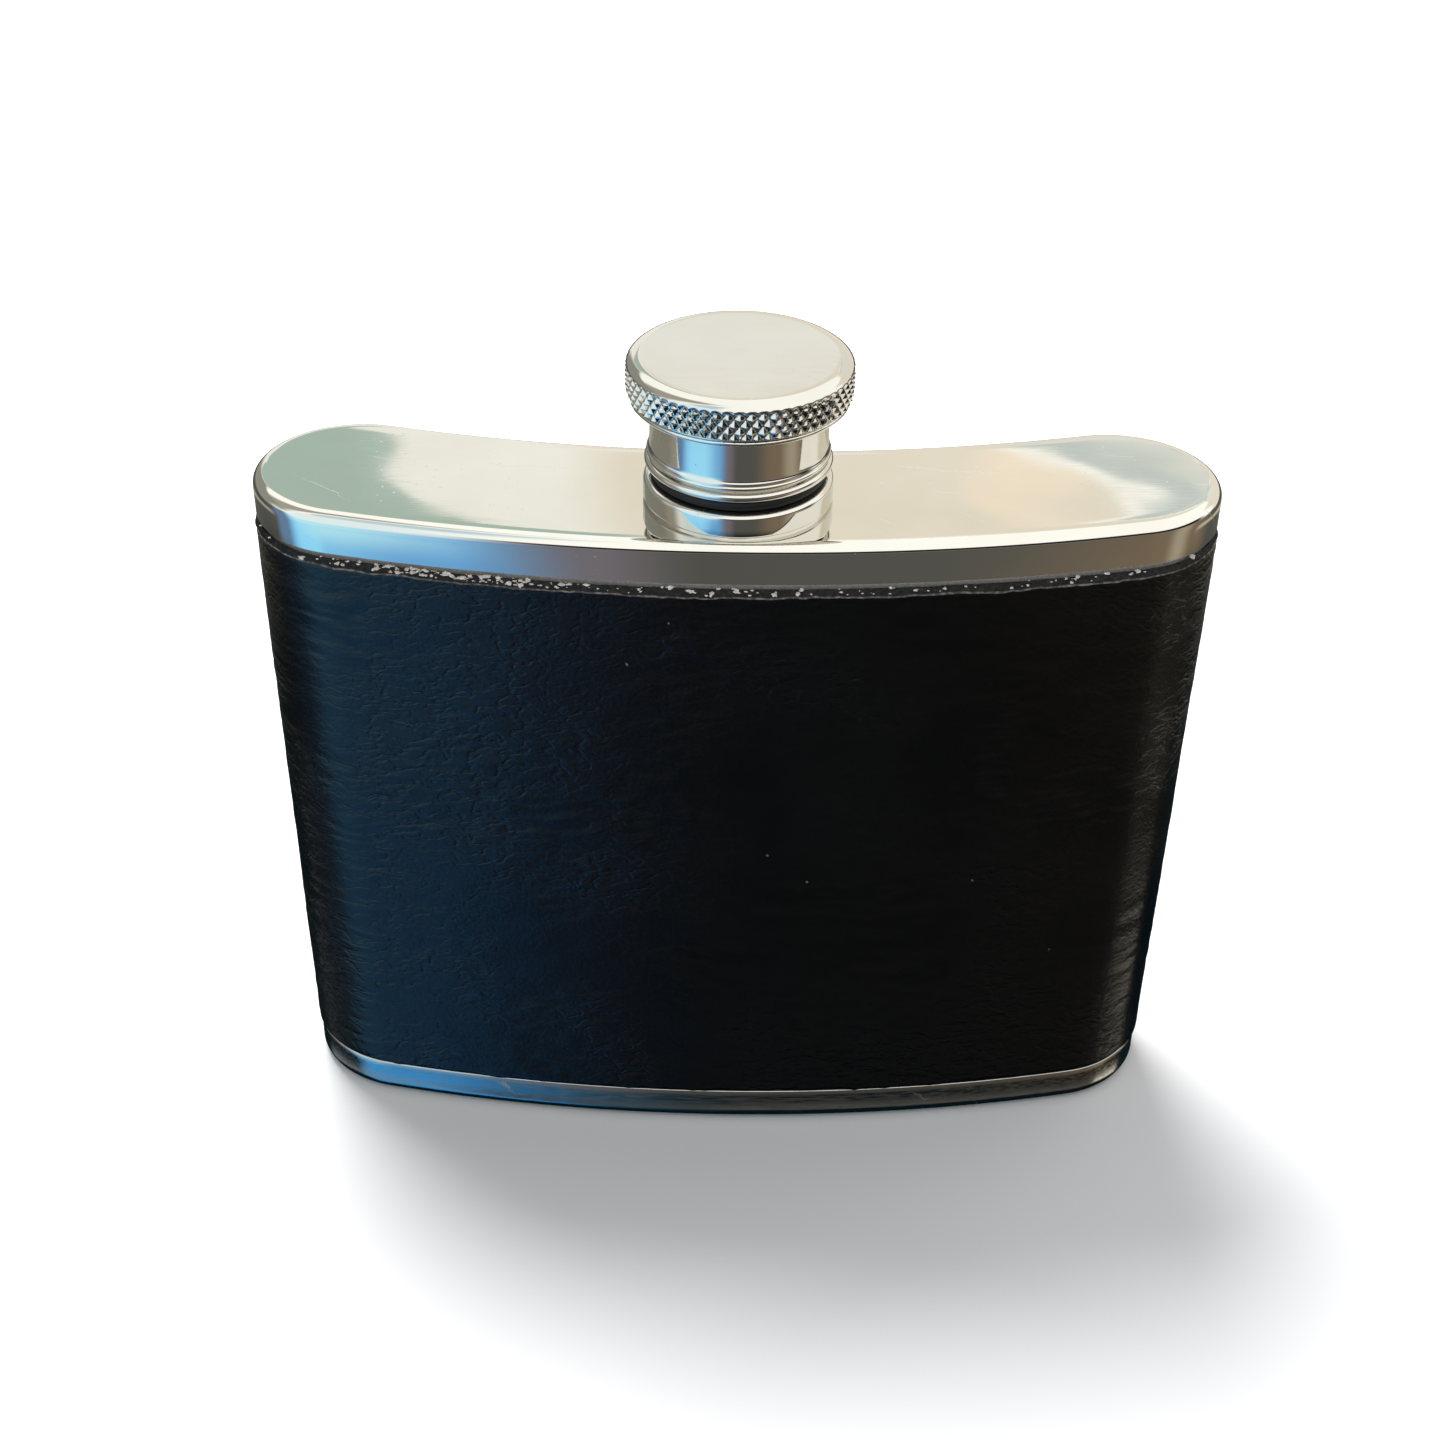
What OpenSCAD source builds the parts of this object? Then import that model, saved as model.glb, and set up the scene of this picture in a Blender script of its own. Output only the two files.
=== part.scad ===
// Hip flask: a curved, tapered steel bottle in a glued leather sleeve, with a threaded
// neck and a knurled screw cap.
// Frame: +Z up, +X to the right, the convex front face looks along -Y. The origin is at the
// bottom centre of the bounding box, on the surface that the flask stands on.

/* [Body] */
// Width of the flask at its top rim
top_w = 98.4; // [85:0.2:115]
// Width of the flask at its foot
foot_w = 90.6; // [80:0.2:105]
// Thickness of the flask, front to back, at its top rim
top_t = 21.4; // [20.4:0.2:26]
// Thickness of the flask at its foot
foot_t = 21; // [20:0.2:25]
// Height of the body, from the foot to the top plate
body_h = 71.2; // [55:0.2:100]
// Radius that the body is curved to, measured on its middle line
curve_r = 152; // [100:2:300]
// Radius of the rolled edges of the top and bottom pressings
edge_r = 1; // [0.8:0.1:1.4]
// Height of the bright band above the leather
top_band = 4.2; // [3:0.2:8]
// Height of the bright band below the leather
foot_band = 3.9; // [3:0.1:8]

/* [Sheet metal] */
// Thickness of the body sheet and of the skirts of the two pressings
sheet_t = 0.5; // [0.4:0.05:0.6]
// Thickness of the top plate, and of the foot plate
plate_t = 0.8; // [0.6:0.1:1]
// Width of the foot's standing ring, from the body's side to its inner edge
foot_ring = 3.6; // [3:0.2:5]
// Height that the panel inside the standing ring is pressed up by
foot_recess = 0.6; // [0.3:0.1:1]

/* [Leather] */
// Thickness of the leather on the broad faces
leather_t = 1.1; // [0.9:0.05:1.3]
// How far the leather stands out from the bright bands at the narrow ends
leather_end_proud = 0.15; // [0.1:0.05:0.4]
// Thickness of the contact adhesive under the leather
glue_t = 0.12; // [0.08:0.02:0.16]
// Width of the butt joint between the leather's two ends, at the middle of the back
seam_gap = 0.3; // [0.2:0.1:0.6]
// Height of the bevel that the leather's top edge is pared to
top_bevel = 1.1; // [0.4:0.1:1.6]
// Height of the bevel at the leather's bottom edge
foot_bevel = 0.7; // [0.4:0.1:1.2]

/* [Neck] */
// Radius of the neck's bore, which a funnel's spout goes into
neck_bore_r = 5; // [4.5:0.1:5.4]
// Height of the neck's lip over the top plate
neck_h = 12; // [11:0.5:12.5]
// Outer radius of the collar at the neck's foot
collar_r = 9.5; // [9:0.1:9.8]
// Height of the collar
collar_h = 2.7; // [2.2:0.1:3]
// Turn-to-turn distance of the cap's thread
thread_pitch = 2; // [1.8:0.1:2.2]

/* [Cap] */
// Outer radius of the knurled head
head_r = 11.3; // [10.8:0.1:12.5]
// Height of the cap's flat top over the top plate
cap_top = 15.5; // [15.5:0.1:17]
// Radius of the cap's flat top
crown_flat_r = 9.8; // [9:0.1:10.2]
// Radius of the barrel below the head
barrel_r = 8.9; // [8.7:0.1:9]

/* [Hidden] */
$fn = 96;

// Points round a section: along each half of the back, round each end and along the front.
back_steps = 12;
end_steps = 24;
front_steps = 2 * back_steps;
wall_gap = 0.04;        // between the body sheet and the skirts that are pressed over it
edge_steps = 5;
edge_gap = 0.12;        // between a pared edge of the leather and the bright band beside it

// The sheet lies inside the pressings' skirts, and the leather covers it between them.
sheet_inset = sheet_t + wall_gap;
leather_z0 = foot_band + edge_gap;
leather_z1 = body_h - top_band - edge_gap;
leather_front_proud = leather_t + glue_t - sheet_inset;

// A section is an arc band with a round at each end. The sleeve's widest section sets where
// the origin is, front to back.
function end_angle(hw, ht) = asin((hw - ht) / curve_r);
function back_y(hw, ht) = curve_r * (1 - cos(end_angle(hw, ht))) + ht;
widest_z = leather_z1 - top_bevel;
widest_half_w = half_w_at(widest_z) + leather_end_proud;
widest_half_t = half_t_at(widest_z) + leather_front_proud;
neck_y = (widest_half_t - back_y(widest_half_w, widest_half_t)) / 2;

// Half width and half thickness of the bright metal at height z: both taper evenly.
function half_w_at(z) = (foot_w + (top_w - foot_w) * z / body_h) / 2;
function half_t_at(z) = (foot_t + (top_t - foot_t) * z / body_h) / 2;

// One point on a circle, and a run of points on an arc.
function on_circle(c, r, a) = [c[0] + r * cos(a), c[1] + r * sin(a)];
function arc(c, r, a0, a1, n) = [for (i = [0:n]) on_circle(c, r, a0 + (a1 - a0) * i / n)];
function without_first(v) = [for (i = [1:len(v) - 1]) v[i]];
function without_last(v) = [for (i = [0:len(v) - 2]) v[i]];

// The section's outline, counter-clockwise from the middle of the back, open at that point:
// its first and last points are the same place.
function outline(hw, ht) =
    let (phi = end_angle(hw, ht),
         c = [0, curve_r],
         x = curve_r * sin(phi),
         y = curve_r * (1 - cos(phi)))
    concat(
        arc(c, curve_r - ht, -90, -90 - phi, back_steps),
        without_first(arc([-x, y], ht, 90 - phi, 270 - phi, end_steps)),
        without_first(arc(c, curve_r + ht, -90 - phi, -90 + phi, front_steps)),
        without_first(arc([x, y], ht, phi - 90, phi + 90, end_steps)),
        without_first(arc(c, curve_r - ht, phi - 90, -90, back_steps)));
last_point = 2 * back_steps + 2 * end_steps + front_steps;
left_seam = back_steps + end_steps / 2;
right_seam = last_point - left_seam;

// The metal's outline at height z, moved outward by out_w at the ends and out_t on the faces.
function skin(z, out_w, out_t) =
    [for (p = outline(half_w_at(z) + out_w, half_t_at(z) + out_t)) [p[0], p[1] + neck_y, z]];
function ring(z, out) = without_last(skin(z, out, out));
// The same outline at another height, for the flat faces and rolled edges.
function at_height(points, z) = [for (p = points) [p[0], p[1], z]];

// A closed solid from rings that each have the same number of points, capped at both ends.
// A cap is a ladder of small faces from point first round both ways to the far side, because
// one face with this curved an outline isn't convex.
module stacked(rings, first = 0) {
    n = len(rings[0]);
    last = len(rings) - 1;
    top = last * n;
    half = n / 2;
    points = [for (r = rings) each r];
    sides = [for (k = [0:last - 1]) for (i = [0:n - 1])
        let (j = (i + 1) % n, a = k * n, b = a + n)
        each [[a + i, b + i, b + j], [a + i, b + j, a + j]]];
    caps = [for (k = [0:half - 1])
        let (a0 = (first - k + n) % n, b0 = (first + k) % n,
             a1 = (a0 - 1 + n) % n, b1 = (b0 + 1) % n,
             low = a0 == b0 ? [a0, b1, a1] : a1 == b1 ? [a0, b0, b1] : [a0, b0, b1, a1])
        each [low, [for (i = [len(low) - 1:-1:0]) top + low[i]]]];
    polyhedron(points, concat(sides, caps));
}

// The same for a strip's section, whose ladder starts between its first and last points.
module stacked_strip(rings) {
    n = len(rings[0]);
    last = len(rings) - 1;
    top = last * n;
    points = [for (r = rings) each r];
    sides = [for (k = [0:last - 1]) for (i = [0:n - 1])
        let (j = (i + 1) % n, a = k * n, b = a + n)
        each [[a + i, b + i, b + j], [a + i, b + j, a + j]]];
    caps = [for (k = [0:n / 2 - 2])
        let (low = [k, k + 1, n - 2 - k, n - 1 - k])
        each [low, [for (i = [3:-1:0]) top + low[i]]]];
    polyhedron(points, concat(sides, caps));
}

// The cross-section of a strip of sheet, from point i0 to point i1 of the outline.
function strip(inner, outer, i0, i1) =
    concat([for (i = [i0:i1]) outer[i]], [for (i = [i1:-1:i0]) inner[i]]);

// Half of the body sheet, seam-welded to the other half at the narrow ends.
module body_sheet(parts) {
    end_gap = plate_t + edge_r / 2 + wall_gap; // the sheet stops short of the plates' corners
    z0 = end_gap;
    z1 = body_h - end_gap;
    function wrap(z, out) = let (s = skin(z, -out, -out))
        concat([for (p = parts) for (i = [p[0]:p[1]]) s[i]]);
    function section(z) =
        let (o = wrap(z, sheet_inset), i = wrap(z, sheet_inset + sheet_t), n = len(o))
        concat(o, [for (k = [n - 1:-1:0]) i[k]]);
    stacked_strip([section(z0), section(z1)]);
}

module front_wall() {
    color("gainsboro") body_sheet([[left_seam, right_seam]]);
}

module back_wall() {
    color("gainsboro") body_sheet([[right_seam, last_point], [1, left_seam]]);
}

// A rolled edge: rings from the flat face at height z_flat out to the side of the body.
// way is 1 where the side goes down from the edge and -1 where it goes up.
function rolled_edge(z_flat, way) = [for (k = [0:edge_steps])
    let (a = 90 * k / edge_steps,
         in = edge_r * (1 - sin(a)),
         z = z_flat - way * edge_r * (1 - cos(a)))
    at_height(ring(z, -in), z)];
function reversed(v) = [for (i = [len(v) - 1:-1:0]) v[i]];

// The polished top: a pressed lid with a rolled edge and a short skirt.
module top_plate() {
    z_skirt = body_h - top_band;
    z_under = body_h - plate_t;
    color("silver") difference() {
        stacked(concat(
            [at_height(ring(z_under, -edge_r), z_under),
             ring(z_under - edge_r / 2, -sheet_t),
             ring(z_skirt, -sheet_t),
             ring(z_skirt, 0)],
            reversed(rolled_edge(body_h, 1))), left_seam);
        translate([0, neck_y, z_under - 1]) cylinder(r = neck_seat_r + 0.05, h = plate_t + 2);
    }
}

// The foot: a pressed pan with a rolled edge, standing on a ring round its raised panel.
module foot_plate() {
    slope = foot_recess;
    color("silver") stacked(concat(
        [at_height(ring(0, -foot_ring - slope), foot_recess),
         ring(0, -foot_ring)],
        rolled_edge(0, -1),
        [ring(foot_band, 0),
         ring(foot_band, -sheet_t),
         ring(plate_t + edge_r / 2, -sheet_t),
         at_height(ring(plate_t, -edge_r), plate_t),
         at_height(ring(plate_t, -foot_ring - slope / 2), plate_t),
         at_height(ring(plate_t, -foot_ring - 1.5 * slope), plate_t + foot_recess)]), left_seam);
}

// The leather is one piece, wrapped round the body and butted at the middle of the back.
// It is thinner where it is pulled tight over the narrow ends.
function glue_line(z, out) = skin(z, out - sheet_inset, out - sheet_inset);
function leather_face(z, pared) =
    skin(z, leather_end_proud * (1 - pared), leather_front_proud - leather_t * 0.75 * pared);
function open_seam(points) = [for (i = [0:last_point])
    i == 0 ? [points[i][0] - seam_gap / 2, points[i][1], points[i][2]]
    : i == last_point ? [points[i][0] + seam_gap / 2, points[i][1], points[i][2]]
    : points[i]];
module wrapped(rows) {
    stacked_strip([for (r = rows) strip(open_seam(r[0]), open_seam(r[1]), 0, last_point)]);
}

module leather_sleeve() {
    z0 = leather_z0;
    z1 = leather_z1;
    color([0.05, 0.06, 0.08]) wrapped([
        [glue_line(z0, glue_t), leather_face(z0, 1)],
        [glue_line(z0 + foot_bevel, glue_t), leather_face(z0 + foot_bevel, 0)],
        [glue_line(z1 - top_bevel, glue_t), leather_face(z1 - top_bevel, 0)],
        [glue_line(z1, glue_t), leather_face(z1, 1)]]);
}

module leather_adhesive() {
    film = 0.02; // clear of the sheet on one side and of the leather on the other
    color("tan") wrapped([for (z = [leather_z0, leather_z1])
        [glue_line(z, film), glue_line(z, glue_t - film)]]);
}

// Thread sizes: the ridges on the neck and in the cap pass each other with thread_play.
thread_play = 0.2;
neck_root_r = 6.6;
neck_crest_r = 7.2;
cap_crest_r = neck_root_r + thread_play;
cap_root_r = neck_crest_r + thread_play;
ridge_root_w = 0.42 * thread_pitch;
ridge_crest_w = 0.2 * thread_pitch;
ridge_sink = 0.25;      // how deep a ridge's foot is sunk into the wall that carries it
ridge_steps = 36;       // steps in each turn of a ridge
ridge_turns = 2.5;
neck_thread_z = 5.2;
neck_seat_r = 7.3;      // the plain seat that carries the collar and the gasket
gasket_h = 1.25;
gasket_play = 0.05;
washer_t = 1.2;

// A right-handed ridge of a round wall: from radius r_foot to r_crest, its middle at z0 where
// it starts. It is lower at each end, over a quarter of a turn, and its foot is sunk in the wall.
module thread_ridge(r_foot, r_crest, z0, turns) {
    way = sign(r_crest - r_foot);
    height = abs(r_crest - r_foot);
    slope = (ridge_root_w - ridge_crest_w) / 2 / height;
    n = ridge_steps * turns;
    function profile(i) =
        let (s = min(1, 0.4 + 0.6 * min(i, n - i) / (ridge_steps / 4)),
             a = 360 * i / ridge_steps,
             z = z0 + thread_pitch * i / ridge_steps,
             tip = r_foot + way * height * s,
             tip_w = ridge_crest_w / 2 + slope * height * (1 - s),
             sunk = r_foot - way * ridge_sink,
             sunk_w = ridge_root_w / 2 + slope * ridge_sink)
        [for (p = [[sunk, z - sunk_w], [tip, z - tip_w], [tip, z + tip_w], [sunk, z + sunk_w]])
            [p[0] * cos(a), p[0] * sin(a), p[1]]];
    stacked([for (i = [0:n]) way > 0 ? reversed(profile(i)) : profile(i)]);
}

// The neck is a turned tube: it is brazed into the top plate by the flange under it.
module neck() {
    flange_r = 8.6;
    flange_t = 0.8;
    lip_r = 0.3;
    z_flange = -plate_t - flange_t;
    color("gainsboro") translate([0, neck_y, body_h]) union() {
        rotate_extrude() polygon([
            [neck_bore_r, z_flange], [flange_r, z_flange], [flange_r, -plate_t],
            [neck_seat_r, -plate_t], [neck_seat_r, collar_h + 1.2], [neck_root_r, collar_h + 1.2],
            [neck_root_r, neck_h - lip_r], [neck_root_r - lip_r, neck_h],
            [neck_bore_r, neck_h]]);
        thread_ridge(neck_root_r, neck_crest_r, neck_thread_z, ridge_turns);
    }
}

// The collar round the neck's foot is turned: a rounded lower ring with a slimmer ring on it.
module neck_collar() {
    soft = 0.35;
    step = 0.2;
    step_z = 0.62 * collar_h;
    upper_r = collar_r - step;
    color("silver") translate([0, neck_y, body_h]) rotate_extrude() polygon(concat(
        [[neck_seat_r + 0.02, 0]],
        arc([collar_r - soft, soft], soft, -90, 0, 6),
        arc([collar_r - soft, step_z - soft], soft, 0, 60, 5),
        [[upper_r, step_z]],
        arc([upper_r - soft, collar_h - soft], soft, 0, 90, 6),
        [[neck_seat_r + 0.02, collar_h]]));
}

// The black ring that shows between the collar and the cap's rim.
module neck_gasket() {
    r_out = 8.8;
    mid = gasket_h / 2;
    color([0.03, 0.03, 0.03]) translate([0, neck_y, body_h + collar_h])
        rotate_extrude() polygon(concat(
            [[neck_seat_r + 0.02, 0]],
            arc([r_out - mid, mid], mid, -90, 90, 8),
            [[neck_seat_r + 0.02, gasket_h]]));
}

cap_rim_z = collar_h + gasket_h + gasket_play;  // the cap's lower rim, over the top plate
roof_z = neck_h + washer_t + gasket_play;        // the inside of the cap's closed end
barrel_top_z = cap_top - 0.8;
head_z0 = 10.9;                             // underside of the knurled head
barrel_seat_r = barrel_r + 0.02;

// The soft disc in the cap that is pressed onto the neck's lip.
module sealing_washer() {
    color("ivory") translate([0, neck_y, body_h + neck_h + gasket_play / 2])
        cylinder(r = cap_root_r - 0.2, h = washer_t);
}

// The barrel is a turned, threaded cup. Two rings run round its open end: a flared step and,
// under a fine groove, a rounded bead.
module cap_barrel() {
    bead_r = 9.4;
    bead_h = 0.95;
    step_r = 9.2;
    z_groove = cap_rim_z + bead_h;
    z_step = z_groove + 0.25;
    color("silver") translate([0, neck_y, body_h]) union() {
        rotate_extrude() polygon(concat(
            [[0, roof_z], [cap_root_r, roof_z], [cap_root_r, cap_rim_z + 0.3],
             [cap_root_r + 0.3, cap_rim_z]],
            arc([bead_r - bead_h / 2, cap_rim_z + bead_h / 2], bead_h / 2, -90, 90, 10),
            [[bead_r - 0.65, z_step]],
            arc([step_r - 0.25, z_step + 0.25], 0.25, -90, 90, 8),
            [[barrel_r + 0.1, z_step + 0.7], [barrel_r, z_step + 1.3],
             [barrel_r, barrel_top_z], [0, barrel_top_z]]));
        thread_ridge(cap_root_r, cap_crest_r, neck_thread_z + thread_pitch / 2, ridge_turns);
    }
}

// The knurled head is a pressed cup, brazed over the barrel's closed end.
module cap_crown() {
    lip_r = head_r - 0.9;
    band_z0 = head_z0 + 0.7;
    bevel_h = 1.05;
    bevel_w = head_r - crown_flat_r;
    color("silver") translate([0, neck_y, body_h]) rotate_extrude() polygon(concat(
        [[barrel_seat_r, head_z0]],
        arc([lip_r - 0.2, head_z0 + 0.2], 0.2, -90, 0, 4),
        [[lip_r, band_z0 - 0.2], [head_r - 0.15, band_z0], [head_r, band_z0 + 0.15]],
        [for (k = [0:8]) let (a = 11.25 * k)
            [crown_flat_r + bevel_w * cos(a), cap_top - bevel_h * (1 - sin(a))]],
        [[0, cap_top], [0, barrel_top_z + 0.02], [barrel_seat_r, barrel_top_z + 0.02]]));
}

front_wall();
back_wall();
top_plate();
foot_plate();
neck();
neck_collar();
neck_gasket();
leather_sleeve();
leather_adhesive();
sealing_washer();
cap_barrel();
cap_crown();
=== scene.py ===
# %% [markdown]
# # A leather-covered hip flask
# A hip flask is a small steel bottle, curved to lie against the body. This one has a kidney-shaped
# section, a polished top and foot pressed from steel sheet, a glued black leather sleeve between
# them, and a knurled screw cap on a threaded neck.
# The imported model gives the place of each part. The cells below build the visible surfaces in the
# same places, in millimetres, and turn them to metres when each mesh is made.

# %% Load the frame
import math

import bmesh
import bpy
import numpy as np
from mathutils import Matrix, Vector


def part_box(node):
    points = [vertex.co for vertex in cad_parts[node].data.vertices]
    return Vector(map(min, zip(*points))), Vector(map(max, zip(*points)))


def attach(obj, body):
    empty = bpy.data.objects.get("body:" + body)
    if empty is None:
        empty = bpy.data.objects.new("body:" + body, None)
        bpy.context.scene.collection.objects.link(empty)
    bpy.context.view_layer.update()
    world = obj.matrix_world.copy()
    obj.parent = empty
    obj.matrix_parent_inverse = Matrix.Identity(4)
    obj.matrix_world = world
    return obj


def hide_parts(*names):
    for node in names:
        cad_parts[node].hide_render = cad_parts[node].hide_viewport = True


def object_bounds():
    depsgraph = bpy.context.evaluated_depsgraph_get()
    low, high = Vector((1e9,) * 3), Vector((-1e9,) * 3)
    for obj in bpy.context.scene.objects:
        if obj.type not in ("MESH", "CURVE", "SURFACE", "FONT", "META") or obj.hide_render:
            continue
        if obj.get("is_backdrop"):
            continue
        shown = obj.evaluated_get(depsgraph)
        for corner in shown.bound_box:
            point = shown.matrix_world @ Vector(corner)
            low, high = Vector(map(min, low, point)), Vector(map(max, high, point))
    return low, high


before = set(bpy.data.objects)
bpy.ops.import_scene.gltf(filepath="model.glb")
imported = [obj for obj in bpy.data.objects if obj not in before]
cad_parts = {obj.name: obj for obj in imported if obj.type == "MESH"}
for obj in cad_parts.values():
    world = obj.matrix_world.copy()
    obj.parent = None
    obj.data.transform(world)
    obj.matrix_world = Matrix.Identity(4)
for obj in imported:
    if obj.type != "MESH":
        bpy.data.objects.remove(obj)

cad_low, cad_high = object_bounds()
MM = 0.001
rng = np.random.default_rng(7)
print("frame box in mm:", [round(v / MM, 1) for v in (*cad_low, *cad_high)])

# %% [markdown]
# ## Where everything is
# The body tapers evenly from the top to the foot, so two heights are enough to know its width and
# its thickness everywhere: the edge of the foot's band and the top plate's rolled edge. The neck's
# axis is the middle of the collar. Two radii aren't in the boxes, so they are stated here: the
# body's curve and the rolled edges.

# %% Sizes from the frame
CURVE_R = 152.0         # mm, the curve of the body's middle line


def box_mm(node):
    low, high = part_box(node)
    return np.array(low) / MM, np.array(high) / MM


lid_low, lid_high = box_mm("top_plate")
foot_low, foot_high = box_mm("foot_plate")
collar_low, collar_high = box_mm("neck_collar")
sleeve_low, sleeve_high = box_mm("leather_sleeve")
barrel_low, barrel_high = box_mm("cap_barrel")
crown_low, crown_high = box_mm("cap_crown")
gasket_low, gasket_high = box_mm("neck_gasket")
neck_low, neck_high = box_mm("neck")
washer_low, washer_high = box_mm("sealing_washer")

EDGE_R = 1.35           # mm, the rolled edges of both pressings
LID_Z = lid_high[2]
AXIS_Y = (collar_low[1] + collar_high[1]) / 2
band_z = foot_high[2]
rim_z = LID_Z - EDGE_R


def taper(z, at_band, at_rim):
    return at_band + (at_rim - at_band) * (z - band_z) / (rim_z - band_z)


def half_width(z):
    return taper(z, foot_high[0], lid_high[0])


def half_thickness(z):
    return taper(z, AXIS_Y - foot_low[1], AXIS_Y - lid_low[1])


print("half width", [round(half_width(z), 2) for z in (0, LID_Z)],
      "half thickness", [round(half_thickness(z), 2) for z in (0, LID_Z)])

# %% [markdown]
# ## Mesh helpers
# Most parts here are skins: rows of points that follow the body's outline, or a profile turned
# round the neck's axis. Building the rows as arrays and joining neighbours with quads gives an
# even, closed mesh, which bends light the way a pressed or turned part does. Edges that are
# sharper than about 30 degrees are marked sharp, so flat faces stay flat and rolled ones smooth.

# %% Mesh helpers
SHARP = math.radians(30)


def make_piece(name, points, faces, body, slot, *nodes, finish=None):
    """Makes a mesh object from points in mm, rides it on a body and stands it for CAD nodes.

    finish gives each face the number of its material, where a piece wears more than one."""
    mesh = bpy.data.meshes.new(name)
    mesh.from_pydata((np.asarray(points) * MM).tolist(), [], faces)
    if finish is not None:
        mesh.polygons.foreach_set("material_index", finish)
    mesh.validate()
    bm = bmesh.new()
    bm.from_mesh(mesh)
    bmesh.ops.remove_doubles(bm, verts=bm.verts, dist=1e-7)
    bmesh.ops.dissolve_degenerate(bm, edges=bm.edges, dist=1e-8)
    bmesh.ops.recalc_face_normals(bm, faces=bm.faces)
    for face in bm.faces:
        face.smooth = True
    for edge in bm.edges:
        edge.smooth = edge.is_manifold and edge.calc_face_angle(0) < SHARP
    bm.to_mesh(mesh)
    bm.free()
    piece = bpy.data.objects.new(name, mesh)
    bpy.context.scene.collection.objects.link(piece)
    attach(piece, body)
    if nodes:
        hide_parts(*nodes)
    print(name, len(mesh.vertices), "vertices")
    return piece


def grid_faces(rows, columns, start=0, wrap=True):
    """Quads between neighbouring points of rows x columns, joined round into a loop or not."""
    across = columns if wrap else columns - 1
    r, c = np.meshgrid(np.arange(rows - 1), np.arange(across), indexing="ij")
    n = (c + 1) % columns
    quads = np.stack([r * columns + c, r * columns + n,
                      (r + 1) * columns + n, (r + 1) * columns + c], axis=-1)
    return (quads.reshape(-1, 4) + start).tolist()


def turned(profile, steps=160):
    """Points and faces of a profile of (radius, height) turned round the neck's axis."""
    profile = np.asarray(profile, float)
    angle = np.linspace(0, 2 * np.pi, steps, endpoint=False)
    radius, height = profile[:, :1], profile[:, 1:]
    points = np.stack([radius * np.cos(angle), AXIS_Y + radius * np.sin(angle),
                       height + 0 * angle], axis=-1)
    return points.reshape(-1, 3), grid_faces(len(profile), steps)


def rounded(centre, radius, first, last, steps=8):
    """A run of (radius, height) points on a small arc of a profile, in degrees."""
    a = np.radians(np.linspace(first, last, steps + 1))
    return [(centre[0] + radius * math.cos(t), centre[1] + radius * math.sin(t)) for t in a]


def soft_noise(u, v, cells_u, cells_v, seed):
    """Smooth random hills from -1 to 1, for u and v from 0 to 1."""
    table = np.random.default_rng(seed).uniform(-1, 1, (cells_u + 2, cells_v + 2))
    x, y = np.clip(u, 0, 1) * cells_u, np.clip(v, 0, 1) * cells_v
    i, j = x.astype(int), y.astype(int)
    fx, fy = x - i, y - j
    fx, fy = fx * fx * (3 - 2 * fx), fy * fy * (3 - 2 * fy)
    low = table[i, j] * (1 - fx) + table[i + 1, j] * fx
    high = table[i, j + 1] * (1 - fx) + table[i + 1, j + 1] * fx
    return low * (1 - fy) + high * fy


# %% [markdown]
# ## The outline of the body
# Seen from above, the body is a band along an arc, closed by a round at each end. The outline
# starts at the middle of the hollow back and goes round by the left end, the front and the right
# end. Both halves of the back have as many steps as the matching half of the front, so points
# that face each other across the body can be joined in a ladder to fill the flat top and foot.

# %% The outline
BACK, END = 90, 56      # steps along half the back, and round one end
LOOP = 4 * BACK + 2 * END
LEFT_TIP = BACK + END // 2


def outline(z, out_end=0.0, out_face=None):
    """The outline at height z, moved outward by out_end at the tips and out_face on the faces."""
    out_face = out_end if out_face is None else out_face
    hw, ht = half_width(z) + out_end, half_thickness(z) + out_face
    phi = math.asin((hw - ht) / CURVE_R)
    cx, cy = CURVE_R * math.sin(phi), CURVE_R * (1 - math.cos(phi))

    def run(x, y, r, first, last, steps):
        a = np.linspace(first, last, steps + 1)[:-1]
        return np.stack([x + r * np.cos(a), y + r * np.sin(a)], axis=-1)

    quarter = math.pi / 2
    flat = np.concatenate([
        run(0, CURVE_R, CURVE_R - ht, -quarter, -quarter - phi, BACK),
        run(-cx, cy, ht, quarter - phi, 3 * quarter - phi, END),
        run(0, CURVE_R, CURVE_R + ht, -quarter - phi, -quarter + phi, 2 * BACK),
        run(cx, cy, ht, phi - quarter, phi + quarter, END),
        run(0, CURVE_R, CURVE_R - ht, phi - quarter, -quarter, BACK)])
    return np.column_stack([flat[:, 0], flat[:, 1] + AXIS_Y, np.full(len(flat), float(z))])


def level(points, z):
    return np.column_stack([points[:, :2], np.full(len(points), float(z))])


def ladder(loop, across):
    """Rows of points that fill a flat outline, from its left tip to its right tip."""
    k = np.arange(1, LOOP // 2)
    back, front = loop[(LEFT_TIP - k) % LOOP], loop[(LEFT_TIP + k) % LOOP]
    t = np.linspace(0, 1, across + 1)[None, 1:-1, None]
    return back[:, None] * (1 - t) + front[:, None] * t


def fill(loop_start, loop, rows_start, across):
    """Faces that join a ladder's inner points to the loop round it."""
    k = np.arange(1, LOOP // 2)
    inner = rows_start + np.arange(len(k) * (across - 1)).reshape(len(k), across - 1)
    table = np.column_stack([loop_start + (LEFT_TIP - k) % LOOP, inner,
                             loop_start + (LEFT_TIP + k) % LOOP])
    quads = np.stack([table[:-1, :-1], table[:-1, 1:], table[1:, 1:], table[1:, :-1]], axis=-1)
    tips = [[loop_start + LEFT_TIP, *table[0].tolist()],
            [loop_start + (LEFT_TIP + LOOP // 2) % LOOP, *table[-1][::-1].tolist()]]
    return quads.reshape(-1, 4).tolist() + tips


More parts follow.
